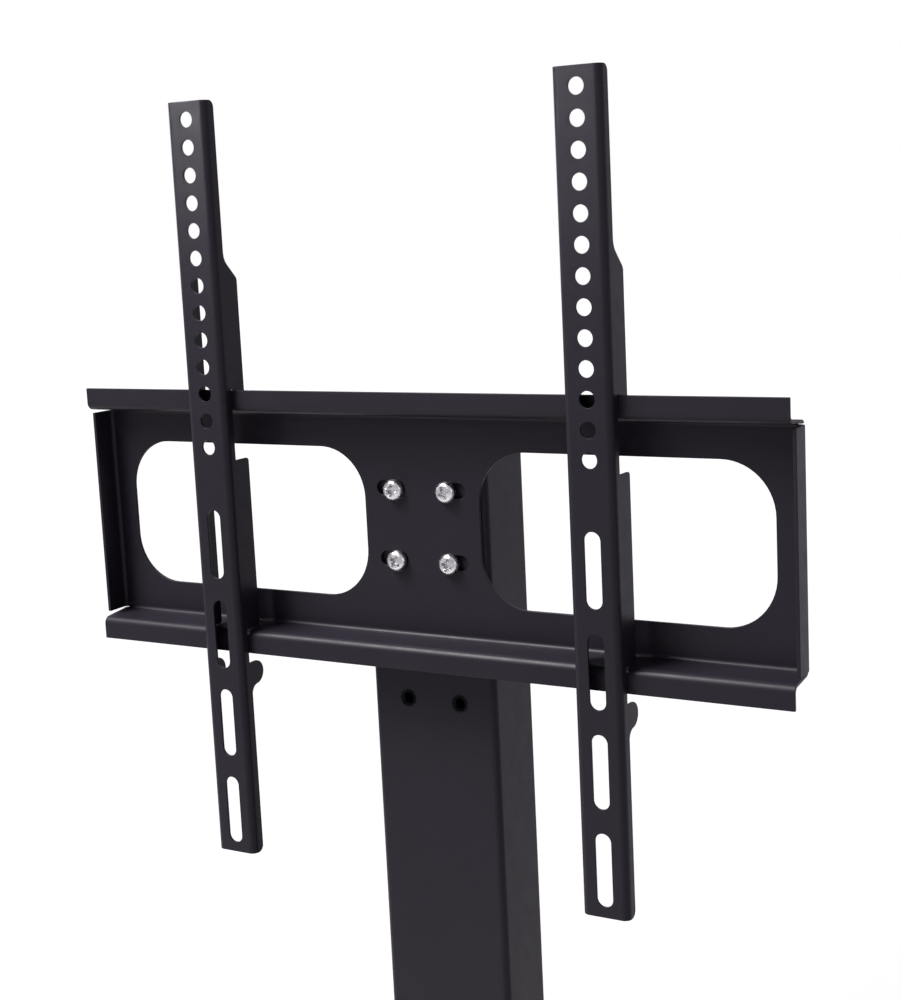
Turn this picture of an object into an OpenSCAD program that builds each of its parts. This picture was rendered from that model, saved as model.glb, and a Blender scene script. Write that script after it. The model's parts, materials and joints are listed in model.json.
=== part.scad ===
// Floor stand for a television. A tube on a glass base carries a folded mount plate,
// and two upright channel arms hook over the rails of that plate.
// Millimetres. The origin is on the floor, under the middle of the base.
// +X is to the right, -Y is the front (the television's side) and +Z is up.

/* [Column] */
// Width of the column's tube
col_w = 81; // [60:1:120]
// Depth of the column's tube
col_d = 46; // [34:1:80]
// Wall of the column's tube
col_wall = 2; // [1.5:0.5:3]
// Outer corner radius of the tube
col_r = 4; // [3.5:0.5:6]
// Length of the column's tube
col_len = 1040; // [700:10:1500]
// Height from one row of threaded holes to the next
row_pitch = 41; // [34:1:60]
// Distance from the top of the tube to the uppermost row
row_drop = 43; // [28:1:80]
// Distance between the two bolts of a row
bolt_spacing = 34.3; // [28:0.1:40]

/* [Mount plate] */
// Width over the side flanges
plate_w = 450; // [430:5:700]
// Clear height between the two ledges, just behind the lips
channel_h = 130; // [116:1:170]
// Height of each lip, measured from the inside of its ledge
lip_h = 13.5; // [10:0.5:18]
// Depth from the front of the plate to the front of the lips
rail_d = 20.5; // [19:0.5:30]
// Thickness of the plate's sheet
plate_t = 2; // [1.5:0.5:2.5]
// Inside radius of the plate's bends
bend_r = 2.5; // [1:0.5:2.5]
// Depth of the side flanges, measured from the front of the plate
flange_d = 15; // [10:0.5:18]
// Lean of the ledges in degrees; each runs in toward the middle of the channel on its way back
ledge_lean = 6; // [0:1:8]
// Slit between a side flange and a ledge
slit_h = 0.6; // [0.5:0.1:6]
// How far the ledges and lips stop short of the side flanges' outer faces
lip_inset = 1.3; // [0.5:0.1:3]
// Width of each window
window_w = 171; // [120:1:180]
// Height of each window
window_h = 88; // [70:1:100]
// Corner radius of the windows
window_r = 29; // [15:1:33]
// Width of the solid strip between the windows
window_gap = 75; // [66:1:90]
// Length of the bolt slots
slot_len = 18.3; // [15.5:0.1:20]
// Height of the bolt slots
slot_h = 8.6; // [8:0.1:10]
// Distance between the middles of the two slots in a row
slot_spacing = 39.5; // [37:0.5:42]
// How far the middles of the slots are above the bolts
slot_rise = 0.8; // [0:0.1:0.8]

/* [Arms] */
// Length of an arm
arm_len = 445; // [435:1:520]
// Width of an arm
arm_w = 27.5; // [24:0.5:40]
// Thickness of the arm's sheet
arm_t = 1.5; // [1:0.25:2]
// Outside radius of the arm's two long bends
arm_bend_r = 4; // [3.5:0.5:5]
// Depth of both webs beside the uppermost and lowest holes
shallow_d = 8.7; // [7.8:0.1:10]
// Depth of the right web where it reaches between the rails
right_web_d = 19.8; // [17:0.1:22]
// Depth of the left web where it reaches between the rails
left_web_d = 16.8; // [14:0.1:19]
// Depth of the strip that passes in front of the lips
strip_d = 7.5; // [6:0.1:7.7]
// From the top of the arm down to its seat on the upper lip
seat_drop = 164.9; // [155:0.1:180]
// From the top of the arm down to the ramp between its shallow and its deep part
ramp_drop = 85.8; // [60:0.1:110]
// Height of the tongue that reaches between the rails
tongue_h = 102.2; // [80:0.1:103]
// Radius of the lobe below the lower rail
lobe_r = 7; // [5:0.1:8]
// From the lower lip down to the lobe
lobe_drop = 6; // [4:0.1:10]
// Diameter of the round holes
hole_d = 8.9; // [7:0.1:11]
// Distance from one round hole to the next
hole_pitch = 15.65; // [14:0.05:16]
// From the top of the arm down to the first round hole
hole_drop = 10.2; // [8:0.1:14]
// Length of the long slots
arm_slot_len = 41; // [30:1:44]
// Width of the long slots
arm_slot_w = 9.4; // [7:0.1:11]
// From the top of the arm down to the middle of the first slot
arm_slot_drop = 255.8; // [250:0.1:262]
// Distance from one slot to the next
arm_slot_pitch = 54.25; // [48:0.25:55]
// From the middle of the plate to the middle of the left arm
left_arm_x = 126; // [50:0.1:190]
// From the middle of the plate to the middle of the right arm
right_arm_x = 119.3; // [50:0.1:190]

/* [Base] */
// Width of the glass base
base_w = 650; // [500:10:900]
// Depth of the glass base
base_d = 420; // [320:10:600]
// Thickness of the glass
base_t = 8; // [6:1:12]
// Corner radius of the glass
base_r = 45; // [20:5:100]
// From the middle of the base back to the middle of the column
col_back = 83; // [0:0.5:90]
// Width of the foot plate under the column
foot_w = 170; // [150:5:260]
// Depth of the foot plate
foot_d = 130; // [120:5:180]
// Thickness of the foot plate
foot_t = 6; // [4:1:10]
// From the edges of the foot plate to the middle of a base bolt
base_bolt_margin = 18; // [16:1:24]
// Height of the feet, from the floor to the glass
feet_h = 12; // [11:1:25]
// Diameter of the feet
feet_d = 44; // [30:1:60]
// From the edges of the glass to the middle of a foot
feet_margin = 55; // [35:5:60]

/* [Hidden] */
$fn = 64;
over = 1;

// Clearances: between pieces that slide, between a shank and its hole, and of a piece set in another
run_gap = 0.3;
shank_gap = 0.2;
set_gap = 0.05;

// Bolts of the mount plate and the threaded inserts that take them
bolt_d = 6;
bolt_len = 16;
bolt_head_d = 12.5;
bolt_head_h = 4.5;
bolt_dome_r = 2.9;
bolt_lift = 0.15;
cross_w = 1.6;
cross_l = 7;
cross_d = 2.5;
nut_body_d = 9;
nut_head_d = 10;
nut_head_t = 0.6;
nut_neck_d = 8.2;
nut_neck_l = 5;
nut_shoulder = 1.2;
nut_len = 14.5;

// Column cap
cap_t = 2.5;
cap_plug_h = 16;
cap_plug_wall = 2.4;
cap_plug_r = 1.7;

// Arm: the ramp's bends, the round corners and the lobe
ramp_a = 45;
ramp_r = 10;
ramp_tip_r = 4;
arm_corner_r = 4;
tip_r = 2;
lobe_past = 0.7;
lobe_blend_r = 5.5;
arm_end_margin = 4;

// Base: bolts, washers, sleeves, rubber sheets, under plate and feet
base_bolt_d = 8;
base_head_d = 14;
base_head_h = 4.4;
base_dome_r = 3.8;
hex_w = 5;
hex_d = 2.6;
washer_d = 18;
washer_t = 1.6;
sleeve_d = 12;
gasket_t = 1;
under_t = 5;
under_inset = 12;
foot_corner_r = 12;
pad_t = 4;
pad_inset = 3;
pad_recess = 1.5;
ring_edge = 1.2;

// Places worked out from the sizes above
plate_outer_r = bend_r + plate_t;
ledge_run = rail_d - plate_outer_r * (1 - sin(ledge_lean));
ledge_fall = ledge_run * tan(ledge_lean) - plate_outer_r * (1 - cos(ledge_lean));
ledge_bend_z = ledge_fall + bend_r * tan(45 - ledge_lean / 2);
foot_z = feet_h + base_t + gasket_t;
under_z = feet_h - gasket_t - under_t;
col_z = foot_z + foot_t;
col_top = col_z + col_len;
mid_z = col_top - row_drop - row_pitch / 2;
col_front = col_back - col_d / 2;
plate_y = col_front - nut_head_t - plate_t;
arm_y = plate_y - rail_d - run_gap - strip_d;
ledge_drop = seat_drop + run_gap + lip_h;
arm_top = mid_z + channel_h / 2 + ledge_drop;

sides = [["left", -1], ["right", 1]];
corners = [["front_left", -1, -1], ["front_right", 1, -1], ["rear_left", -1, 1], ["rear_right", 1, 1]];

// Middle of each round hole and slot of an arm, down from the arm's top; there are as many slots as fit
slot_room = arm_len - arm_end_margin - arm_slot_drop - arm_slot_len / 2;
hole_drops = [for (i = [0:12]) hole_drop + i * hole_pitch];
slot_drops = [for (i = [0:floor(slot_room / arm_slot_pitch)]) arm_slot_drop + i * arm_slot_pitch];

// Height of a row of threaded holes; row 1 is the uppermost
function row_z(row) = col_top - row_drop - (row - 1) * row_pitch;

// Middle of a base bolt, and middle of a foot
function base_bolt_at(corner) = [
    corner[1] * (foot_w / 2 - base_bolt_margin),
    col_back + corner[2] * (foot_d / 2 - base_bolt_margin)
];
function foot_at(corner) = [
    corner[1] * (base_w / 2 - feet_margin),
    corner[2] * (base_d / 2 - feet_margin)
];

// Rectangle with round corners, centred
module round_rect(w, h, r) {
    square([w - 2 * r, h], center = true);
    square([w, h - 2 * r], center = true);
    for (x = [-1, 1])
        for (y = [-1, 1])
            translate([x * (w / 2 - r), y * (h / 2 - r)])
                circle(r);
}

// Slot with round ends, centred and lying along X
module slot_shape(length, width) {
    square([length - width, width], center = true);
    for (x = [-1, 1])
        translate([x * (length - width) / 2, 0])
            circle(d = width);
}

// Quarter of a disc, in the quadrant of +X and +Y
module quarter_disc(r) {
    intersection() {
        circle(r);
        square(r);
    }
}

// Section of a bend: a quarter of a ring with its centre at the origin
module bend_section(inner, outer) {
    difference() {
        quarter_disc(outer);
        circle(inner);
    }
}

// What lies outside a circle at the origin, from +X through an angle, as far as two tangents further out
module corner_filler(r, angle, reach) {
    difference() {
        polygon([
            [0, 0],
            [reach, 0],
            [reach, reach * tan(angle / 2)],
            [reach * cos(angle), reach * sin(angle)]
        ]);
        circle(r);
    }
}

// Turns a shape drawn in X and Z into a cut that starts at y and runs back
module front_cut(y, depth) {
    translate([0, y + depth, 0])
        rotate([90, 0, 0])
            linear_extrude(depth)
                children();
}

// Low round bolt head, standing on z = 0
module round_head(d, h, dome_r) {
    rotate_extrude() {
        square([d / 2, h - dome_r]);
        square([d / 2 - dome_r, h]);
        translate([d / 2 - dome_r, h - dome_r])
            quarter_disc(dome_r);
    }
}

// Column: rectangular tube with a row of holes for the threaded inserts in its front wall
module column() {
    inner_r = max(col_r - col_wall, col_wall / 4);
    color("#26242a")
        difference() {
            translate([0, col_back, col_z])
                linear_extrude(col_len)
                    difference() {
                        round_rect(col_w, col_d, col_r);
                        round_rect(col_w - 2 * col_wall, col_d - 2 * col_wall, inner_r);
                    }
            for (row = [1:4])
                for (side = sides)
                    translate([side[1] * bolt_spacing / 2, col_front - over, row_z(row)])
                        rotate([-90, 0, 0])
                            cylinder(h = col_wall + 2 * over, d = nut_body_d + 2 * set_gap);
        }
}

// Plastic cap: a lid over the tube with a hollow plug inside it
module column_cap() {
    plug_w = col_w - 2 * col_wall - 2 * run_gap;
    plug_d = col_d - 2 * col_wall - 2 * run_gap;
    color("#1b1a1d")
        translate([0, col_back, col_top]) {
            linear_extrude(cap_t)
                round_rect(col_w, col_d, col_r);
            translate([0, 0, -cap_plug_h])
                linear_extrude(cap_plug_h + cap_t / 2)
                    difference() {
                        round_rect(plug_w, plug_d, cap_plug_r);
                        square([plug_w - 2 * cap_plug_wall, plug_d - 2 * cap_plug_wall], center = true);
                    }
        }
}

// Threaded insert: a thin head on the face of the tube, and a body with a neck behind the wall
module rivet_nut(row, side) {
    thread_r = bolt_d / 2 + set_gap;
    neck_z = nut_head_t + col_wall + nut_shoulder;
    color("#3a383d")
        translate([side * bolt_spacing / 2, col_front - nut_head_t, row_z(row)])
            rotate([-90, 0, 0])
                rotate_extrude()
                    polygon([
                        [thread_r, 0],
                        [nut_head_d / 2, 0],
                        [nut_head_d / 2, nut_head_t],
                        [nut_body_d / 2, nut_head_t],
                        [nut_body_d / 2, neck_z],
                        [nut_neck_d / 2, neck_z + nut_shoulder],
                        [nut_neck_d / 2, neck_z + nut_neck_l],
                        [nut_body_d / 2, neck_z + nut_neck_l],
                        [nut_body_d / 2, nut_len],
                        [thread_r, nut_len]
                    ]);
}

// Section of the plate across its rails, in Y and Z about the plate's middle.
// The plate stands upright, each ledge runs forward with a slight lean away from the middle,
// and each lip stands upright again. It is drawn with sharp bends, which are then rounded.
module rail_section() {
    turn = 90 - ledge_lean;
    slope = tan(ledge_lean);
    inside_z = channel_h / 2 - ledge_fall;
    outside_z = inside_z + plate_t / cos(ledge_lean);
    lip_z = channel_h / 2 + lip_h;
    rail = [
        [0, inside_z],
        [-rail_d, inside_z + rail_d * slope],
        [-rail_d, lip_z],
        [plate_t - rail_d, lip_z],
        [plate_t - rail_d, outside_z + (rail_d - plate_t) * slope],
        [plate_t, outside_z - plate_t * slope]
    ];
    bends = [
        [[-bend_r, channel_h / 2 - ledge_bend_z], 0],
        [[plate_outer_r - rail_d, channel_h / 2 + plate_outer_r], 180]
    ];
    difference() {
        union() {
            polygon(concat(rail, [for (i = [5:-1:0]) [rail[i][0], -rail[i][1]]]));
            for (up = [0, 1])
                mirror([0, up])
                    for (bend = bends)
                        translate(bend[0])
                            rotate(bend[1])
                                corner_filler(bend_r, turn, bend_r + plate_t / 2);
        }
        for (up = [0, 1])
            mirror([0, up])
                for (bend = bends)
                    translate(bend[0])
                        rotate(bend[1])
                            corner_filler(plate_outer_r, turn, 2 * plate_outer_r);
    }
}

// Section of the right side flange with its bend, in X and Y; x is 0 at its outer face
module flange_section() {
    translate([-plate_outer_r, -bend_r])
        bend_section(bend_r, plate_outer_r);
    translate([-plate_t, -flange_d])
        square([plate_t, flange_d - bend_r]);
}

// Mount plate, from one sheet: rails, side flanges, windows and slots
module mount_plate() {
    rail_l = plate_w - 2 * lip_inset;
    flat_w = plate_w - 2 * plate_outer_r;
    web_h = channel_h - 2 * ledge_fall;
    flange_h = web_h - 2 * slit_h;
    color("#26242a")
        translate([0, plate_y, mid_z])
            difference() {
                union() {
                    difference() {
                        translate([-rail_l / 2, 0, 0])
                            rotate([90, 0, 90])
                                linear_extrude(rail_l)
                                    rail_section();
                        for (side = sides)
                            translate([side[1] * (flat_w + plate_w) / 2, 0, 0])
                                cube([plate_w, 2 * (plate_t + over), web_h], center = true);
                    }
                    for (side = [0, 1])
                        mirror([side, 0, 0])
                            translate([plate_w / 2, 0, -flange_h / 2])
                                linear_extrude(flange_h)
                                    flange_section();
                }
                for (side = sides) {
                    translate([side[1] * (window_gap + window_w) / 2, 0, 0])
                        front_cut(-over, plate_t + 2 * over)
                            round_rect(window_w, window_h, window_r);
                    for (row = [-1, 1])
                        translate([side[1] * slot_spacing / 2, 0, slot_rise + row * row_pitch / 2])
                            front_cut(-over, plate_t + 2 * over)
                                slot_shape(slot_len, slot_h);
                }
            }
}

// Pan-head bolt with a cross recess; its shank runs through a slot into a threaded insert
module mount_bolt(row, side) {
    color("#d4d6d8")
        translate([side * bolt_spacing / 2, plate_y - bolt_lift, row_z(row)])
            rotate([90, 0, 0])
                difference() {
                    union() {
                        round_head(bolt_head_d, bolt_head_h, bolt_dome_r);
                        translate([0, 0, -bolt_len])
                            cylinder(h = bolt_len + bolt_head_h / 2, d = bolt_d);
                    }
                    for (turn = [0, 90])
                        rotate(turn)
                            translate([-cross_l / 2, -cross_w / 2, bolt_head_h - cross_d])
                                cube([cross_l, cross_w, cross_d + over]);
                }
}

// Block from the arm's face to the given depth, between two heights, with round rear corners
module web_block(depth, top, low, r) {
    translate([0, low])
        square([depth - r, top - low]);
    translate([0, low + r])
        square([depth, top - low - 2 * r]);
    for (z = [low + r, top - r])
        translate([depth - r, z])
            circle(r);
}

// Outline of an arm's web, in depth behind the face and height below the arm's top.
// From the top: shallow, a ramp to the deep part and its hook behind the upper lip, the strip in front
// of the upper rail, the tongue between the rails, the strip in front of the lower rail,
// a round lobe just below the lower lip, and shallow again.
module web_shape(deep) {
    growth = deep - shallow_d;
    bends_share = min(1, growth / (ramp_r + ramp_tip_r) / (1 - cos(ramp_a)));
    arc_r = bends_share * ramp_r;
    end_r = bends_share * ramp_tip_r;
    arc_h = arc_r * sin(ramp_a);
    arc_in = arc_r * (1 - cos(ramp_a));
    end_h = end_r * sin(ramp_a);
    end_in = end_r * (1 - cos(ramp_a));
    ramp_low = -ramp_drop - arc_h - end_h - (growth - arc_in - end_in) / tan(ramp_a);
    hook_x = strip_d + plate_t + 2 * run_gap;
    hook_w = deep - hook_x;
    hook_r = min(tip_r, hook_w / 3);
    hook_top = -seat_drop + 3 * hook_r;
    hook_low = -ledge_drop + plate_t + run_gap;
    ledge_cover = deep - strip_d - run_gap - plate_outer_r;
    tongue_low = -ledge_drop - channel_h + run_gap + ledge_cover * tan(ledge_lean);
    tongue_top = -ledge_drop - channel_h + run_gap + tongue_h;
    lobe_x = deep + lobe_past - lobe_r;
    lobe_z = -ledge_drop - channel_h - lip_h - lobe_drop - lobe_r;
    blend_x = shallow_d + lobe_blend_r;
    blend_z = lobe_z - sqrt(pow(lobe_r + lobe_blend_r, 2) - pow(blend_x - lobe_x, 2));
    touch_share = lobe_r / (lobe_r + lobe_blend_r);
    touch = [lobe_x + touch_share * (blend_x - lobe_x), lobe_z + touch_share * (blend_z - lobe_z)];

    web_block(shallow_d, 0, ramp_low, arm_corner_r);
    difference() {
        polygon([
            [0, -ramp_drop],
            [shallow_d, -ramp_drop],
            [shallow_d + arc_in, -ramp_drop - arc_h],
            [deep - end_in, ramp_low + end_h],
            [deep - end_r, ramp_low],
            [0, ramp_low]
        ]);
        translate([shallow_d + arc_r, -ramp_drop])
            circle(arc_r);
    }
    translate([deep - end_r, ramp_low])
        quarter_disc(end_r);
    translate([0, -seat_drop])
        square([deep, seat_drop + ramp_low]);
    translate([hook_x + hook_w / 2, (hook_top + hook_low) / 2])
        round_rect(hook_w, hook_top - hook_low, hook_r);
    translate([0, lobe_z])
        square([strip_d, -ramp_drop - lobe_z]);
    web_block(deep, tongue_top, tongue_low, tip_r);
    translate([0, lobe_z])
        square([lobe_x, lobe_r]);
    translate([lobe_x, lobe_z])
        circle(lobe_r);
    difference() {
        polygon([[0, lobe_z], [lobe_x, lobe_z], touch, [shallow_d, blend_z], [0, blend_z]]);
        translate([blend_x, blend_z])
            circle(lobe_blend_r);
    }
    web_block(shallow_d, lobe_z, -arm_len, arm_corner_r);
}

// Section of an arm across its length, in X and Y: the face with two round bends and two long webs
module arm_section(depth) {
    translate([-arm_w / 2 + arm_bend_r, 0])
        square([arm_w - 2 * arm_bend_r, arm_t]);
    for (side = [0, 1])
        mirror([side, 0])
            translate([arm_w / 2 - arm_bend_r, arm_bend_r]) {
                rotate(-90)
                    bend_section(arm_bend_r - arm_t, arm_bend_r);
                translate([arm_bend_r - arm_t, 0])
                    square([arm_t, depth - arm_bend_r]);
            }
}

// Arm: channel cut to the outlines of its two webs, with its round holes and slots
module arm(x) {
    color("#2a282e")
        translate([x, arm_y, arm_top])
            difference() {
                intersection() {
                    translate([0, 0, -arm_len])
                        linear_extrude(arm_len)
                            arm_section(max(left_web_d, right_web_d) + 2 * lobe_past);
                    union()
                        for (web = [[-arm_w, left_web_d], [0, right_web_d]])
                            translate([web[0], 0, 0])
                                rotate([90, 0, 90])
                                    linear_extrude(arm_w)
                                        web_shape(web[1]);
                }
                for (drop = hole_drops)
                    translate([0, 0, -drop])
                        front_cut(-over, arm_bend_r + over)
                            circle(d = hole_d);
                for (drop = slot_drops)
                    translate([0, 0, -drop])
                        front_cut(-over, arm_bend_r + over)
                            rotate(90)
                                slot_shape(arm_slot_len, arm_slot_w);
            }
}

// Holes for the base bolts through a sheet of thickness t that lies at z
module base_bolt_holes(z, t, hole) {
    for (corner = corners)
        translate([base_bolt_at(corner)[0], base_bolt_at(corner)[1], z - over])
            cylinder(h = t + 2 * over, d = hole);
}

// Sheet with round corners, lying at z around the foot of the column
module clamped_sheet(w, d, t, z, hole) {
    difference() {
        translate([0, col_back, z])
            linear_extrude(t)
                round_rect(w, d, foot_corner_r);
        base_bolt_holes(z, t, hole);
    }
}

// Foot plate: welded under the column
module foot_plate() {
    color("#26242a")
        clamped_sheet(foot_w, foot_d, foot_t, foot_z, base_bolt_d + 2 * shank_gap);
}

// Rubber sheet between the foot plate and the glass
module foot_gasket() {
    color("#1b1a1d")
        clamped_sheet(foot_w, foot_d, gasket_t, foot_z - gasket_t, base_bolt_d + 2 * shank_gap);
}

// Base: toughened glass
module base_glass() {
    color("#141416")
        difference() {
            translate([0, 0, feet_h])
                linear_extrude(base_t)
                    round_rect(base_w, base_d, base_r);
            base_bolt_holes(feet_h, base_t, sleeve_d + 2 * set_gap);
        }
}

// Rubber sheet between the glass and the under plate
module under_gasket() {
    w = foot_w - under_inset;
    d = foot_d - under_inset;
    color("#1b1a1d")
        clamped_sheet(w, d, gasket_t, feet_h - gasket_t, base_bolt_d + 2 * shank_gap);
}

// Steel plate under the glass, tapped for the base bolts
module under_plate() {
    w = foot_w - under_inset;
    d = foot_d - under_inset;
    color("#26242a")
        clamped_sheet(w, d, under_t, under_z, base_bolt_d + 2 * set_gap);
}

// Round-head bolt with a six-sided socket, down through the foot plate and glass into the under plate
module base_bolt(corner) {
    head_z = foot_z + foot_t + washer_t;
    color("#8f9194")
        translate([base_bolt_at(corner)[0], base_bolt_at(corner)[1], head_z])
            difference() {
                union() {
                    round_head(base_head_d, base_head_h, base_dome_r);
                    translate([0, 0, under_z - head_z])
                        cylinder(h = head_z - under_z + base_head_h / 4, d = base_bolt_d);
                }
                translate([0, 0, base_head_h - hex_d])
                    cylinder(h = hex_d + over, d = hex_w / cos(30), $fn = 6);
            }
}

// Flat washer under a base bolt's head
module base_washer(corner) {
    color("#9a9c9f")
        translate([base_bolt_at(corner)[0], base_bolt_at(corner)[1], foot_z + foot_t])
            difference() {
                cylinder(h = washer_t, d = washer_d);
                translate([0, 0, -over])
                    cylinder(h = washer_t + 2 * over, d = base_bolt_d + 2 * shank_gap);
            }
}

// Nylon sleeve that keeps a base bolt off the glass
module glass_sleeve(corner) {
    color("#d8d6cf")
        translate([base_bolt_at(corner)[0], base_bolt_at(corner)[1], feet_h])
            difference() {
                cylinder(h = base_t, d = sleeve_d);
                translate([0, 0, -over])
                    cylinder(h = base_t + 2 * over, d = base_bolt_d + 2 * shank_gap);
            }
}

// Metal ring bonded under the glass, with a recess that holds the pad
module foot_ring(corner) {
    ring_r = feet_d / 2;
    recess_r = ring_r - pad_inset;
    ring_h = feet_h - pad_t;
    color("#b9bbbe")
        translate([foot_at(corner)[0], foot_at(corner)[1], pad_t])
            rotate_extrude()
                polygon([
                    [0, pad_recess],
                    [recess_r, pad_recess],
                    [recess_r, 0],
                    [ring_r - ring_edge, 0],
                    [ring_r, ring_edge],
                    [ring_r, ring_h - ring_edge],
                    [ring_r - ring_edge, ring_h],
                    [0, ring_h]
                ]);
}

// Rubber pad that stands on the floor
module foot_pad(corner) {
    color("#1b1a1d")
        translate([foot_at(corner)[0], foot_at(corner)[1], 0])
            cylinder(h = pad_t + pad_recess, d = feet_d - 2 * (pad_inset + set_gap));
}

column();
column_cap();
for (row = [1:4])
    for (side = sides)
        rivet_nut(row, side[1]);
mount_plate();
for (row = [["upper", 1], ["lower", 2]])
    for (side = sides)
        mount_bolt(row[1], side[1]);
arm(-left_arm_x);  // left_arm
arm(right_arm_x);  // right_arm
foot_plate();
foot_gasket();
base_glass();
under_gasket();
under_plate();
for (corner = corners) {
    base_bolt(corner);
    base_washer(corner);
    glass_sleeve(corner);
    foot_ring(corner);
    foot_pad(corner);
}
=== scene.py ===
import json
import math
import bmesh
import bpy
import numpy as np
from mathutils import Matrix, Vector


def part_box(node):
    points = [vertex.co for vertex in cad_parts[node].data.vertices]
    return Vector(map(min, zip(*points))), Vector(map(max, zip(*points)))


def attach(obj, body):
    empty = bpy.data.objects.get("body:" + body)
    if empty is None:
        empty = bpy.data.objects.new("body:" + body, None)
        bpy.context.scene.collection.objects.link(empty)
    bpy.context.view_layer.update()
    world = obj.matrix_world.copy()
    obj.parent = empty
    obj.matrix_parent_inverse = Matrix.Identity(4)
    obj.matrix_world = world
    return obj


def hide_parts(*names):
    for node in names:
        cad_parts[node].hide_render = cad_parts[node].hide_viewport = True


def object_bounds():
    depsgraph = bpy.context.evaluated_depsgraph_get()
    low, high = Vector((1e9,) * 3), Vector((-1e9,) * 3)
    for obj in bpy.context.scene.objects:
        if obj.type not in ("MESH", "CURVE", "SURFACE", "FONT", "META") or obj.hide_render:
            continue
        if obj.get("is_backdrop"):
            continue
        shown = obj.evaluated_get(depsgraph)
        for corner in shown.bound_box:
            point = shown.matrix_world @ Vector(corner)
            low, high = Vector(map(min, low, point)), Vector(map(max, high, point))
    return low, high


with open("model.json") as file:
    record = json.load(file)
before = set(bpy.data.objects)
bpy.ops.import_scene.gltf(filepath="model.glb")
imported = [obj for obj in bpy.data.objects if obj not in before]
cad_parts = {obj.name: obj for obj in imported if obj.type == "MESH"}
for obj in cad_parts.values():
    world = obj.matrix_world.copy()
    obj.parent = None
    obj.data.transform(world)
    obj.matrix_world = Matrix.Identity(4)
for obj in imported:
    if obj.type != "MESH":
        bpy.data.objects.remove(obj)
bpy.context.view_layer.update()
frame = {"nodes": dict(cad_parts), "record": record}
mm = 0.001
scene = bpy.context.scene
print("stand: frame loaded")

# Camera: where the photograph was taken from, in metres and degrees, with the lens and its sensor in mm
viewpoint = {"place": (0.4993, -0.75598, 1.1792), "yaw": 30.52, "pitch": 8.76, "roll": 2.80,
             "lens": 61.846, "sensor": 36, "shiftY": -0.025, "near": 0.05, "far": 100}


def addCamera(v):
    yaw, pitch, roll = (math.radians(v[k]) for k in ("yaw", "pitch", "roll"))
    ahead = np.array([-math.sin(yaw) * math.cos(pitch), math.cos(yaw) * math.cos(pitch), -math.sin(pitch)])
    level = np.array([math.cos(yaw), math.sin(yaw), 0])
    down = np.cross(ahead, level)
    right = math.cos(roll) * level + math.sin(roll) * down
    up = math.sin(roll) * level - math.cos(roll) * down
    data = bpy.data.cameras.new("photoCamera")
    data.lens, data.sensor_width, data.shift_y = v["lens"], v["sensor"], v["shiftY"]
    data.clip_start, data.clip_end = v["near"], v["far"]
    camera = bpy.data.objects.new("photoCamera", data)
    turned = Matrix(np.column_stack([right, up, -ahead]).tolist()).to_4x4()
    camera.matrix_world = Matrix.Translation(v["place"]) @ turned
    scene.collection.objects.link(camera)
    scene.camera = camera


addCamera(viewpoint)


# Material helpers


# linear colour of an sRGB hex value
def hexColour(code):
    shares = [int(code[i:i + 2], 16) / 255 for i in (1, 3, 5)]
    return tuple(s / 12.92 if s <= 0.04045 else ((s + 0.055) / 1.055) ** 2.4 for s in shares) + (1,)


# one node with its settings and links; a key that is a number or starts with a capital names a socket
def addNode(tree, kind, settings, links=()):
    node = tree.nodes.new(kind)
    for key, value in settings.items():
        if isinstance(key, int) or key[0].isupper():
            node.inputs[key].default_value = value
        else:
            setattr(node, key, value)
    for key, socket in dict(links).items():
        tree.links.new(socket, node.inputs[key])
    return node


def startMaterial(name):
    material = bpy.data.materials.new(name)
    material.use_nodes = True
    material.node_tree.nodes.clear()
    return material, material.node_tree


# puts the surface shader in its output
def endMaterial(tree, shader):
    addNode(tree, "ShaderNodeOutputMaterial", {}, {"Surface": shader.outputs[0]})


# noise in object coordinates whose lumps are sizeMm wide; stretch is given per axis
def grain(tree, sizeMm, detail=2.0, rough=0.5, stretch=(1, 1, 1)):
    place = addNode(tree, "ShaderNodeTexCoord", {})
    scaled = addNode(tree, "ShaderNodeMapping", {"Scale": stretch}, {"Vector": place.outputs["Object"]})
    return addNode(tree, "ShaderNodeTexNoise",
                   {"Scale": 1 / (sizeMm * mm), "Detail": detail, "Roughness": rough},
                   {"Vector": scaled.outputs[0]}).outputs["Fac"]


# spreads a 0 to 1 pattern over the range from low to high
def spread(tree, pattern, low, high, start=0.3, end=0.7):
    return addNode(tree, "ShaderNodeMapRange",
                   {"From Min": start, "From Max": end, "To Min": low, "To Max": high},
                   {"Value": pattern}).outputs[0]


# blends two hex colours by a pattern
def twoTone(tree, pattern, first, second):
    return addNode(tree, "ShaderNodeMix", {"data_type": "RGBA", 6: hexColour(first), 7: hexColour(second)},
                   {0: pattern}).outputs[2]


# a bump of so many millimetres, on top of another bump where one is given
def bumps(tree, pattern, heightMm, under=None):
    links = {"Height": pattern}
    if under is not None:
        links["Normal"] = under
    return addNode(tree, "ShaderNodeBump", {"Strength": 1.0, "Distance": heightMm * mm}, links).outputs[0]


# Polyester powder coat on steel, sprayed and baked: satin black with a violet cast,
# a faint orange peel and a finer grit, so that lights spread into wide soft streaks
powderLook = {"dark": "#1c1820", "light": "#211d25", "cloudMm": 55, "patchesPerCloud": 6, "peelMm": 1.6,
              "peelHeight": 0.012, "gritMm": 0.55, "gritHeight": 0.006, "smooth": 0.36, "dull": 0.44,
              "gloss": 0.15}


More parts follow.
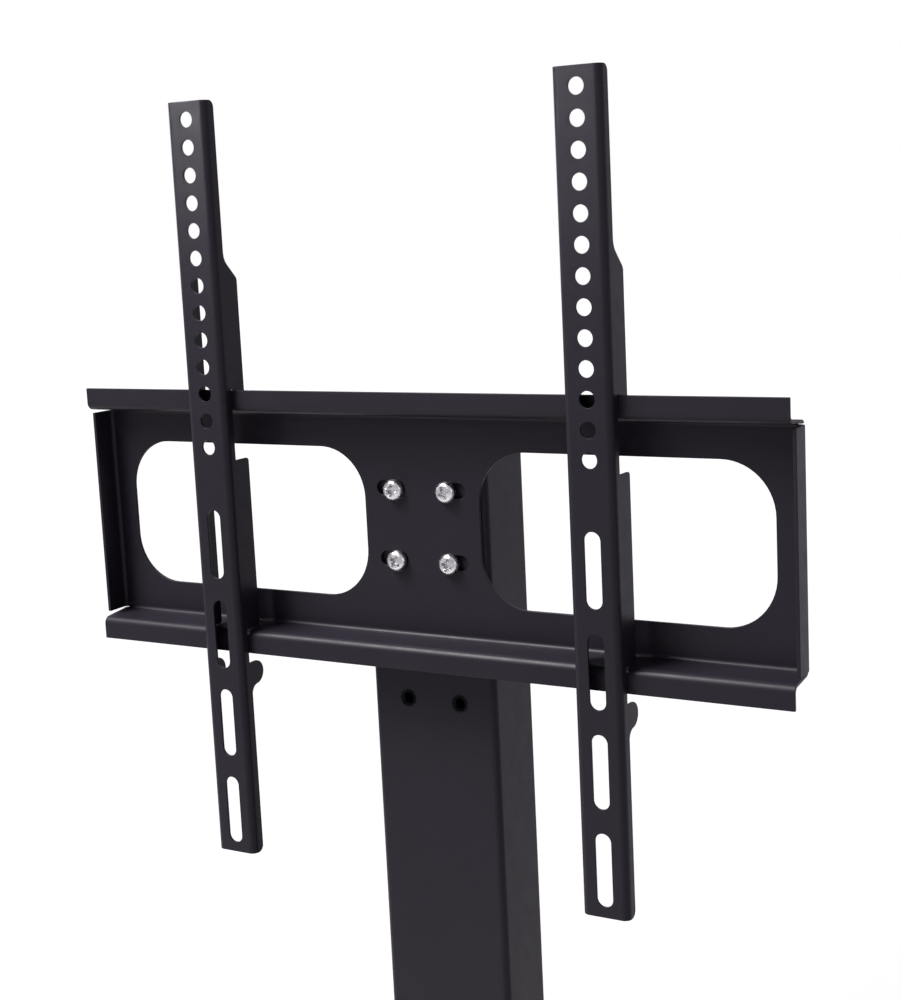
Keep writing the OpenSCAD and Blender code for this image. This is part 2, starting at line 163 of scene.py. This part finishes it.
def powderCoat(name, look):
    material, tree = startMaterial(name)
    cloud = grain(tree, look["cloudMm"], detail=3.0)
    peel = grain(tree, look["peelMm"], detail=1.0)
    grit = grain(tree, look["gritMm"], rough=0.7)
    patch = grain(tree, look["cloudMm"] / look["patchesPerCloud"], detail=4.0, rough=0.6)
    uneven = spread(tree, patch, look["smooth"], look["dull"])
    skin = bumps(tree, grit, look["gritHeight"], bumps(tree, peel, look["peelHeight"]))
    shader = addNode(tree, "ShaderNodeBsdfPrincipled", {"Specular IOR Level": look["gloss"]},
                     {"Base Color": twoTone(tree, cloud, look["dark"], look["light"]), "Roughness": uneven,
                      "Normal": skin})
    endMaterial(tree, shader)
    return material


# Steel plated in zinc: the bright bath mirrors the room a little softly, the dull one is grey and cloudy,
# and the inserts' near-black colour is painted shade for the dark holes they sit in, with only a faint sheen
brightZincLook = {"dark": "#b4b4b5", "light": "#dddddc", "blotchMm": 2, "smooth": 0.16, "dull": 0.34,
                  "pitMm": 0.35, "pitHeight": 0.004}
dullZincLook = {"dark": "#85878b", "light": "#a6a8ab", "blotchMm": 4, "smooth": 0.3, "dull": 0.45,
                "pitMm": 0.4, "pitHeight": 0.006}
# near-black insert colour: painted shade that stands for the shade inside the column's holes
insertPaintedShadeLook = {"dark": "#111013", "light": "#1c1b1f", "blotchMm": 3, "smooth": 0.32, "dull": 0.5,
              "pitMm": 0.4, "pitHeight": 0.006}


def platedSteel(name, look):
    material, tree = startMaterial(name)
    blotch = grain(tree, look["blotchMm"], detail=3.0)
    pits = grain(tree, look["pitMm"])
    shader = addNode(tree, "ShaderNodeBsdfPrincipled", {"Metallic": 1.0},
                     {"Base Color": twoTone(tree, spread(tree, blotch, 0, 1), look["dark"], look["light"]),
                      "Roughness": spread(tree, blotch, look["smooth"], look["dull"]),
                      "Normal": bumps(tree, pits, look["pitHeight"])})
    endMaterial(tree, shader)
    return material


# Float glass, toughened, printed black underneath and polished at the edges: a deep mirror-like
# black with a trace of green and the faint dulling of dust and wiping
glassLook = {"dark": "#070808", "light": "#0a0d0c", "wipeMm": 40, "smooth": 0.03, "dull": 0.1, "ior": 1.52,
             "waveMm": 90, "waveHeight": 0.01}


def blackGlass(name, look):
    material, tree = startMaterial(name)
    wipes = grain(tree, look["wipeMm"], detail=5.0, rough=0.6, stretch=(1, 3, 1))
    wave = grain(tree, look["waveMm"], detail=1.0)
    shader = addNode(tree, "ShaderNodeBsdfPrincipled", {"IOR": look["ior"]},
                     {"Base Color": twoTone(tree, wipes, look["dark"], look["light"]),
                      "Roughness": spread(tree, wipes, look["smooth"], look["dull"]),
                      "Normal": bumps(tree, wave, look["waveHeight"])})
    endMaterial(tree, shader)
    return material


# Moulded parts: rubber is matt with a sanded skin, ABS has the fine sparkle of an eroded tool,
# nylon is milky and lets a little light in
rubberLook = {"dark": "#131313", "light": "#1d1d1e", "cloudMm": 12, "skinMm": 0.8, "skinHeight": 0.03,
              "smooth": 0.68, "dull": 0.85, "ior": 1.52, "milky": 0.0, "milkyMm": 1.5}
capLook = {"dark": "#141316", "light": "#19181b", "cloudMm": 12, "skinMm": 0.5, "skinHeight": 0.025,
           "smooth": 0.48, "dull": 0.6, "ior": 1.54, "milky": 0.0, "milkyMm": 1.5}
nylonLook = {"dark": "#cfccc2", "light": "#dbd9d1", "cloudMm": 12, "skinMm": 1.5, "skinHeight": 0.006,
             "smooth": 0.38, "dull": 0.5, "ior": 1.53, "milky": 0.3, "milkyMm": 1.5}


def moulded(name, look):
    material, tree = startMaterial(name)
    skin = grain(tree, look["skinMm"], detail=3.0, rough=0.6)
    cloud = grain(tree, look["cloudMm"], detail=3.0)
    shader = addNode(tree, "ShaderNodeBsdfPrincipled",
                     {"IOR": look["ior"], "Subsurface Weight": look["milky"],
                      "Subsurface Scale": look["milkyMm"] * mm},
                     {"Base Color": twoTone(tree, cloud, look["dark"], look["light"]),
                      "Roughness": spread(tree, cloud, look["smooth"], look["dull"]),
                      "Normal": bumps(tree, skin, look["skinHeight"])})
    endMaterial(tree, shader)
    return material


# Turned aluminium of the feet: fine lines run round the rim, because the tool moved along it;
# real lines are 0.05 mm apart and are drawn at 0.3 mm so that they show
turnedLook = {"dark": "#9b9da0", "light": "#c4c6c8", "lineMm": 0.3, "lineHeight": 0.01, "smooth": 0.22,
              "dull": 0.36}


def turnedMetal(name, look):
    material, tree = startMaterial(name)
    lines = grain(tree, look["lineMm"], rough=0.6, stretch=(0.02, 0.02, 1))
    shader = addNode(tree, "ShaderNodeBsdfPrincipled", {"Metallic": 1.0},
                     {"Base Color": twoTone(tree, spread(tree, lines, 0, 1), look["dark"], look["light"]),
                      "Roughness": spread(tree, lines, look["smooth"], look["dull"]),
                      "Normal": bumps(tree, lines, look["lineHeight"])})
    endMaterial(tree, shader)
    return material


finishes = {
    "black_powder_coat": powderCoat("satinPowderCoat", powderLook),
    "bright_zinc": platedSteel("brightZincPlate", brightZincLook),
    "dull_zinc": platedSteel("dullZincPlate", dullZincLook),
    # the inserts' near-black plating is painted shade for their holes
    "insert_steel": platedSteel("darkPlatedInsert", insertPaintedShadeLook),
    "black_glass": blackGlass("toughenedBlackGlass", glassLook),
    "rubber": moulded("matRubber", rubberLook),
    "cap_plastic": moulded("erodedAbs", capLook),
    "nylon": moulded("naturalNylon", nylonLook),
    "foot_metal": turnedMetal("turnedAluminium", turnedLook),
}
print("stand: finishes made")

# each node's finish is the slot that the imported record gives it
slotOf = {part["node"]: part["material_slot"] for part in frame["record"]["subparts"]}
bodyOf = {node: body for body, nodes in frame["record"]["behaviour"]["bodies"].items() for node in nodes}


# a finished piece takes a node's place, body and finish
def dress(piece, node):
    piece.data.materials.clear()
    piece.data.materials.append(finishes[slotOf[node]])
    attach(piece, bodyOf[node])
    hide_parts(node)


def addPiece(name, mesh):
    piece = bpy.data.objects.new(name, mesh)
    scene.collection.objects.link(piece)
    return piece


# Most pieces take their node's own shape, with its sharp edges broken by so many millimetres
edgeMm = {"column": 0.35, "column_cap": 0.6, "mount_plate": 0.3, "left_arm": 0.25, "right_arm": 0.25,
          "foot_plate": 0.6, "foot_gasket": 0.2, "base_glass": 1.2, "under_gasket": 0.2, "under_plate": 0.5,
          "base_bolt": 0.25, "base_washer": 0.3, "glass_sleeve": 0.3, "foot_ring": 0.3, "foot_pad": 0.5}
edgeSteps = {"base_glass": 4, "column_cap": 3, "foot_pad": 3}
easing = {"joinMm": 0.002, "flatDegrees": 0.5, "cornerDegrees": 35, "steps": 2, "closeMm": 0.0005,
          "faceWeight": 100}
# the blind ends of the plate's four slits, placed here in mm, are too narrow for a rounding and stay as cut
slitEnd = {"across": 220.5, "within": 0.3, "behind": 56.0, "above": 61.5, "middle": 1003.5}


def tooNarrow(node, place):
    x, y, z = (abs(c) / mm for c in place)
    return (node == "mount_plate" and abs(x - slitEnd["across"]) < slitEnd["within"] and y > slitEnd["behind"]
            and abs(z - slitEnd["middle"]) > slitEnd["above"])


# the tube's piece is called columnTube, because its node already has the name column
def easedCopy(node, widthMm, steps, e):
    shell = bmesh.new()
    shell.from_mesh(frame["nodes"][node].data)
    bmesh.ops.remove_doubles(shell, verts=shell.verts, dist=e["joinMm"] * mm)
    bmesh.ops.dissolve_limit(shell, angle_limit=math.radians(e["flatDegrees"]), verts=shell.verts,
                             edges=shell.edges)
    for face in shell.faces:
        face.smooth = True
    weights = shell.edges.layers.float.new("bevel_weight_edge")
    for edge in shell.edges:
        corner = edge.calc_face_angle(0) > math.radians(e["cornerDegrees"])
        edge[weights] = float(corner and not any(tooNarrow(node, v.co) for v in edge.verts))
    words = ["column", "tube"] if node == "column" else node.split("_")
    mesh = bpy.data.meshes.new(words[0] + "".join(word.capitalize() for word in words[1:]))
    shell.to_mesh(mesh)
    shell.free()
    if "custom_normal" in mesh.attributes:
        mesh.attributes.remove(mesh.attributes["custom_normal"])
    piece = addPiece(mesh.name, mesh)
    ease = piece.modifiers.new("brokenEdges", "BEVEL")
    ease.width, ease.segments, ease.limit_method = widthMm * mm, steps, "WEIGHT"
    ease.use_clamp_overlap, ease.miter_outer = False, "MITER_ARC"
    piece.modifiers.new("joinedPoints", "WELD").merge_threshold = e["closeMm"] * mm
    even = piece.modifiers.new("evenNormals", "WEIGHTED_NORMAL")
    even.keep_sharp, even.weight = True, e["faceWeight"]
    dress(piece, node)


for node in sorted(frame["nodes"]):
    for kind, width in edgeMm.items():
        if node == kind or (node.startswith(kind + "_") and node not in edgeMm):
            easedCopy(node, width, edgeSteps.get(kind, easing["steps"]), easing)
print("stand: edges eased")


# Surfaces from arrays
meshing = {"joinMm": 0.0005, "sharpDegrees": 38}


# a grid of points (rows, columns, xyz) becomes quads; the last column joins the first, and with loopRows
# the last row joins the first too
def gridMesh(name, points, loopRows=False):
    rows, columns = points.shape[:2]
    index = np.arange(rows * columns).reshape(rows, columns)
    if loopRows:
        index = np.vstack([index, index[:1]])
    index = np.hstack([index, index[:, :1]])
    faces = np.stack([index[:-1, :-1], index[:-1, 1:], index[1:, 1:], index[1:, :-1]], -1).reshape(-1, 4)
    mesh = bpy.data.meshes.new(name)
    mesh.from_pydata(points.reshape(-1, 3).tolist(), [], faces.tolist())
    shell = bmesh.new()
    shell.from_mesh(mesh)
    bmesh.ops.remove_doubles(shell, verts=shell.verts, dist=meshing["joinMm"] * mm)
    bmesh.ops.recalc_face_normals(shell, faces=shell.faces)
    shell.to_mesh(mesh)
    shell.free()
    mesh.shade_smooth()
    mesh.set_sharp_from_angle(angle=math.radians(meshing["sharpDegrees"]))
    return mesh


# joins straight runs of a profile, given by its corners (radius, height), into rows at most stepMm apart
def walk(corners, stepMm):
    runs = []
    for (r0, z0), (r1, z1) in zip(corners[:-1], corners[1:]):
        count = max(1, math.ceil(math.hypot(r1 - r0, z1 - z0) / stepMm))
        share = np.arange(count)[:, None] / count
        runs.append(np.array([[r0, z0]]) + share * np.array([[r1 - r0, z1 - z0]]))
    return np.vstack(runs + [np.array([corners[-1]])])


# a radius and a height for each row and angle, in mm, stand on a point of the shared frame with their axis
# along -Y, so that height runs towards the front: x = r cos a, y = -h, z = r sin a
def turnedToFront(radius, height, angles, middle):
    return np.stack([middle[0] + radius * np.cos(angles) * mm, middle[1] - height * mm,
                     middle[2] + radius * np.sin(angles) * mm], -1)


# a screw thread: the radius falls by depth and rises again once per pitch, and once per turn
def threadDip(height, angles, pitch, depth):
    turn = (height / pitch + angles / (2 * math.pi)) % 1
    return depth * (1 - np.abs(2 * turn - 1))


# M6 pan-head bolts with a cross recess, in mm and degrees
boltShape = {"headR": 6.25, "headH": 4.5, "domeR": 2.9, "crown": 0.25, "chamfer": 0.35,
             "wingW": 2.0, "wingL": 7.4, "wingSteep": 1.6, "coreR": 2.3, "coreSteep": 1.2, "slant": 0.5,
             "wallShare": 0.55, "fadeFrom": 1.25, "recessDepth": 2.6,
             "shankR": 3.0, "shankL": 16.0, "neck": 0.2, "tip": 0.7, "pitch": 1.0, "threadDepth": 0.28,
             "innerR": 3.9, "innerRows": 66, "domeStart": 0.2, "domeRows": 16, "step": 0.4, "rowsPerPitch": 8,
             "around": 128}
boltTurns = {"upper_left": 12, "upper_right": 64, "lower_left": 38, "lower_right": 21}


# the head's top is flat in the middle, falls along a quarter circle at the rim, and sinks by the recess:
# two wings crossed, whose walls lean in, and a round core between them; below it the rim, the underside, the
# shank and its tip are straight runs, and the radius of the shank dips by the thread
def boltSurface(s, middle, turn):
    angles = np.linspace(0, 2 * math.pi, s["around"], endpoint=False)[None, :]
    flatR = s["headR"] - s["domeR"]
    domeAngles = np.linspace(s["domeStart"], math.pi / 2, s["domeRows"])
    radii = np.concatenate([np.linspace(0, s["innerR"], s["innerRows"]),
                            flatR + s["domeR"] * np.sin(domeAngles)])[:, None]
    past = np.clip(radii - flatR, 0, s["domeR"])
    dome = s["headH"] - s["domeR"] + np.sqrt(s["domeR"] ** 2 - past ** 2)
    top = dome - s["crown"] * (radii / s["headR"]) ** 2
    x, y = np.abs(radii * np.cos(angles + turn)), np.abs(radii * np.sin(angles + turn))
    across, along = np.minimum(x, y), np.maximum(x, y)
    wings = np.minimum((s["wingW"] / 2 - across) / s["slant"] * s["wingSteep"],
                       (s["wingL"] / 2 - along) / s["slant"])
    core = (s["coreR"] - radii) / s["slant"] * s["coreSteep"]
    walls = np.clip(np.maximum(wings, core) * s["wallShare"], 0, 1)
    fade = np.clip(s["fadeFrom"] - radii / s["wingL"], 0, 1)
    headZ = top - s["recessDepth"] * walls * fade
    rimH = s["headH"] - s["domeR"] - s["crown"]
    rest = walk([(s["headR"], rimH), (s["headR"], s["chamfer"]), (s["headR"] - s["chamfer"], 0),
                 (s["shankR"], 0)], s["step"])
    shank = walk([(s["shankR"], -s["neck"]), (s["shankR"], s["tip"] - s["shankL"])],
                 s["pitch"] / s["rowsPerPitch"])
    end = np.array([[s["shankR"] - s["tip"], -s["shankL"]], [0, -s["shankL"]]])
    plain = np.vstack([rest, shank, end])
    radius = np.vstack([radii, plain[:, :1]]) + 0 * angles
    height = np.vstack([headZ, plain[:, 1:] + 0 * angles])
    shankFrom = len(radii) + len(rest)
    threaded = slice(shankFrom + s["rowsPerPitch"], shankFrom + len(shank))
    radius[threaded] -= threadDip(height[threaded], angles + 0 * radius[threaded], s["pitch"],
                                  s["threadDepth"])
    return turnedToFront(radius, height, angles + 0 * radius, middle)


for corner, degrees in boltTurns.items():
    low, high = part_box("mount_bolt_" + corner)
    middle = ((low.x + high.x) / 2, low.y + boltShape["headH"] * mm, (low.z + high.z) / 2)
    words = corner.split("_")
    name = "panHeadBolt" + words[0].capitalize() + words[1].capitalize()
    mesh = gridMesh(name, boltSurface(boltShape, middle, math.radians(degrees)))
    dress(addPiece(name, mesh), "mount_bolt_" + corner)
print("stand: bolts made")

# Threaded inserts, in mm: a thin head on the tube, a body behind its wall, and an M6 thread right through
insertShape = {"threadR": 3.05, "pitch": 1.0, "threadDepth": 0.3, "headR": 5.0, "headT": 0.6, "chamfer": 0.15,
               "bodyR": 4.5, "neckR": 4.1, "neckFrom": 3.8, "shoulder": 1.2, "neckTo": 8.8, "length": 14.5,
               "mouth": 1.25, "back": 0.03, "step": 1.5, "rowsPerPitch": 8, "plainRows": 2, "around": 72}


# radius and height go round the closed section once; the rows of the bore carry the thread; the face lies
# a hair behind the tube's, so that the plate slides past it
def insertSurface(s, middle):
    angles = np.linspace(0, 2 * math.pi, s["around"], endpoint=False)[None, :]
    outside = walk([(s["threadR"] + s["mouth"], -s["back"]), (s["headR"] - s["chamfer"], -s["back"]),
                    (s["headR"], -s["chamfer"]), (s["headR"], -s["headT"]), (s["bodyR"], -s["headT"]),
                    (s["bodyR"], -s["neckFrom"]), (s["neckR"], -s["neckFrom"] - s["shoulder"]),
                    (s["neckR"], -s["neckTo"]), (s["bodyR"], -s["neckTo"]), (s["bodyR"], -s["length"]),
                    (s["threadR"] + s["mouth"], -s["length"])], s["step"])
    bore = walk([(s["threadR"], s["mouth"] - s["length"]), (s["threadR"], -s["mouth"])],
                s["pitch"] / s["rowsPerPitch"])
    plain = np.vstack([outside, bore])
    radius, height = plain[:, :1] + 0 * angles, plain[:, 1:] + 0 * angles
    inBore = slice(len(outside) + s["plainRows"], len(plain) - s["plainRows"])
    radius[inBore] += threadDip(height[inBore], angles + 0 * radius[inBore], s["pitch"], s["threadDepth"])
    return turnedToFront(radius, height, angles + 0 * radius, middle)


for row in (1, 2, 3, 4):
    for side in ("left", "right"):
        low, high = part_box(f"rivet_nut_{row}_{side}")
        name = f"threadedInsert{row}{side.capitalize()}"
        middle = ((low.x + high.x) / 2, low.y, (low.z + high.z) / 2)
        dress(addPiece(name, gridMesh(name, insertSurface(insertShape, middle), loopRows=True)),
              f"rivet_nut_{row}_{side}")
print("stand: inserts made")

# Weld round the foot of the column, under the powder coat, in mm
weldShape = {"leg": 3.2, "bulge": 0.72, "heel": 0.9, "sunk": 0.4, "cornerR": 4.0, "ripple": 1.9,
             "swell": 0.12, "step": 0.32, "cornerSteps": 20, "faceSteps": 9}


# the path is the tube's outline, four straight runs and four quarter circles; its section is a low
# triangle with a bulging face, which swells and shrinks once per ripple
def weldSurface(s, low, high):
    halfW, halfD = (high.x - low.x) / 2 / mm - s["cornerR"], (high.y - low.y) / 2 / mm - s["cornerR"]
    points, outwards = [], []
    for k, (cx, cy) in enumerate([(halfW, halfD), (-halfW, halfD), (-halfW, -halfD), (halfW, -halfD)]):
        arc = np.radians(np.linspace(90 * k, 90 * k + 90, s["cornerSteps"]))
        points.append(np.stack([cx + s["cornerR"] * np.cos(arc), cy + s["cornerR"] * np.sin(arc)], -1))
        outwards.append(np.stack([np.cos(arc), np.sin(arc)], -1))
    points, outwards = np.vstack(points), np.vstack(outwards)
    closed, closedOut = np.vstack([points, points[:1]]), np.vstack([outwards, outwards[:1]])
    lengths = np.concatenate([[0], np.cumsum(np.hypot(*np.diff(closed, axis=0).T))])
    along = np.linspace(0, lengths[-1], round(lengths[-1] / s["step"]), endpoint=False)
    path = np.stack([np.interp(along, lengths, closed[:, i]) for i in (0, 1)], -1)
    out = np.stack([np.interp(along, lengths, closedOut[:, i]) for i in (0, 1)], -1)
    beads = round(lengths[-1] / s["ripple"])
    swell = 1 + s["swell"] * np.abs(np.sin(math.pi * beads * along / lengths[-1]))[:, None]
    bow = np.radians(np.linspace(0, 90, s["faceSteps"]))
    face = s["leg"] * (1 - s["bulge"] * np.stack([np.sin(bow), np.cos(bow)], -1))
    reach = np.concatenate([face[:, 0], [-s["sunk"], -s["sunk"]]])[None, :] * swell
    rise = np.concatenate([face[:, 1], [s["leg"] * s["heel"], -s["sunk"]]])[None, :] * swell
    grid = np.stack([path[:, :1] + out[:, :1] * reach, path[:, 1:] + out[:, 1:] * reach, rise], -1) * mm
    return grid + np.array([(low.x + high.x) / 2, (low.y + high.y) / 2, low.z])


weldMesh = gridMesh("columnWeld", weldSurface(weldShape, *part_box("column")), loopRows=True)
weld = addPiece("columnWeld", weldMesh)
weld.data.materials.append(finishes["black_powder_coat"])
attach(weld, bodyOf["column"])
print("stand: weld made")

# Floor, lamps and white surroundings: places and sizes in metres, spread in degrees, power in watts.
# The narrow spot brightens the tops of the arms alone
studio = {"floorColour": "#efefef", "floorReach": 20, "litRadius": 2.0, "white": 1.0, "around": 0.16,
          "mirrored": 0.72, "cast": "#faf4ff"}
lamps = {
    "highSoftbox": {"place": (-1.0, -0.75, 2.8), "aim": (0, 0, 1.0), "size": 0.9, "spread": 180, "power": 90},
    "leftSoftbox": {"place": (-1.1, -1.5, 2.6), "aim": (0, 0, 1.1), "size": 0.8, "spread": 180, "power": 26},
    "armSpot": {"place": (-1.35, -1.6, 1.8), "aim": (-0.1, 0, 1.48), "size": 0.2, "spread": 20, "power": 1.4},
    "rightSoftbox": {"place": (2.2, -1.0, 1.6), "aim": (0, 0, 0.9), "size": 1.2, "spread": 180, "power": 4},
}


# how bright the room is to a ray: white to the camera and through clear things, a little dimmer in
# reflections, and dim where it lights the stand
def roomSeen(tree, white, mirrored, lighting):
    rays = addNode(tree, "ShaderNodeLightPath", {})
    direct = addNode(tree, "ShaderNodeMath", {"operation": "MAXIMUM"},
                     {0: rays.outputs["Is Camera Ray"], 1: rays.outputs["Is Transmission Ray"]}).outputs[0]
    glossy = spread(tree, rays.outputs["Is Glossy Ray"], lighting, mirrored, start=0, end=1)
    shown = spread(tree, direct, 0, white, start=0, end=1)
    return addNode(tree, "ShaderNodeMath", {"operation": "MAXIMUM"}, {0: glossy, 1: shown}).outputs[0]


# white to the camera, and with a faint cast to all other rays
def roomColour(tree, cast):
    rays = addNode(tree, "ShaderNodeLightPath", {})
    return twoTone(tree, rays.outputs["Is Camera Ray"], cast, "#ffffff")


def addSurroundings(s):
    world = bpy.data.worlds.new("whiteRoom")
    world.use_nodes = True
    tree = world.node_tree
    tree.nodes.clear()
    sky = addNode(tree, "ShaderNodeBackground", {},
                  {"Color": roomColour(tree, s["cast"]),
                   "Strength": roomSeen(tree, s["white"], s["mirrored"], s["around"])})
    addNode(tree, "ShaderNodeOutputWorld", {}, {"Surface": sky.outputs[0]})
    scene.world = world


# the lamps light the floor near the stand, where it keeps the stand's shadow; further out it is lifted to
# white by q / (q + 1), where q is the square of the distance over the lit radius
def floorLift(tree, litRadius):
    place = addNode(tree, "ShaderNodeTexCoord", {}).outputs["Object"]
    away = addNode(tree, "ShaderNodeVectorMath", {"operation": "LENGTH"}, {0: place}).outputs["Value"]
    ratio = addNode(tree, "ShaderNodeMath", {"operation": "DIVIDE", 1: litRadius}, {0: away}).outputs[0]
    square = addNode(tree, "ShaderNodeMath", {"operation": "POWER", 1: 2.0}, {0: ratio}).outputs[0]
    below = addNode(tree, "ShaderNodeMath", {"operation": "ADD", 1: 1.0}, {0: square}).outputs[0]
    return addNode(tree, "ShaderNodeMath", {"operation": "DIVIDE"}, {0: square, 1: below}).outputs[0]


def addFloor(s):
    material, tree = startMaterial("paleFloor")
    matt = addNode(tree, "ShaderNodeBsdfDiffuse", {"Color": hexColour(s["floorColour"])})
    seen = addNode(tree, "ShaderNodeMath", {"operation": "MULTIPLY"},
                   {0: floorLift(tree, s["litRadius"]),
                    1: roomSeen(tree, s["white"], s["mirrored"], lighting=0)}).outputs[0]
    lift = addNode(tree, "ShaderNodeEmission", {}, {"Color": roomColour(tree, s["cast"]), "Strength": seen})
    endMaterial(tree, addNode(tree, "ShaderNodeAddShader", {}, {0: matt.outputs[0], 1: lift.outputs[0]}))
    mesh = bpy.data.meshes.new("floor")
    reach = s["floorReach"]
    corners = [(-reach, -reach, 0), (reach, -reach, 0), (reach, reach, 0), (-reach, reach, 0)]
    mesh.from_pydata(corners, [], [(0, 1, 2, 3)])
    mesh.materials.append(material)
    addPiece("floor", mesh)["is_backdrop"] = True


def addLamps(settings):
    for name, lamp in settings.items():
        data = bpy.data.lights.new(name, "AREA")
        data.shape, data.size, data.energy = "DISK", lamp["size"], lamp["power"]
        data.spread = math.radians(lamp["spread"])
        item = bpy.data.objects.new(name, data)
        item.location = lamp["place"]
        ahead = Vector(lamp["aim"]) - item.location
        item.rotation_euler = ahead.to_track_quat("-Z", "Y").to_euler()
        scene.collection.objects.link(item)


addSurroundings(studio)
addFloor(studio)
addLamps(lamps)
scene.view_settings.view_transform = "Standard"
print("stand: studio set")

low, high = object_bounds()
print("stand: finished")
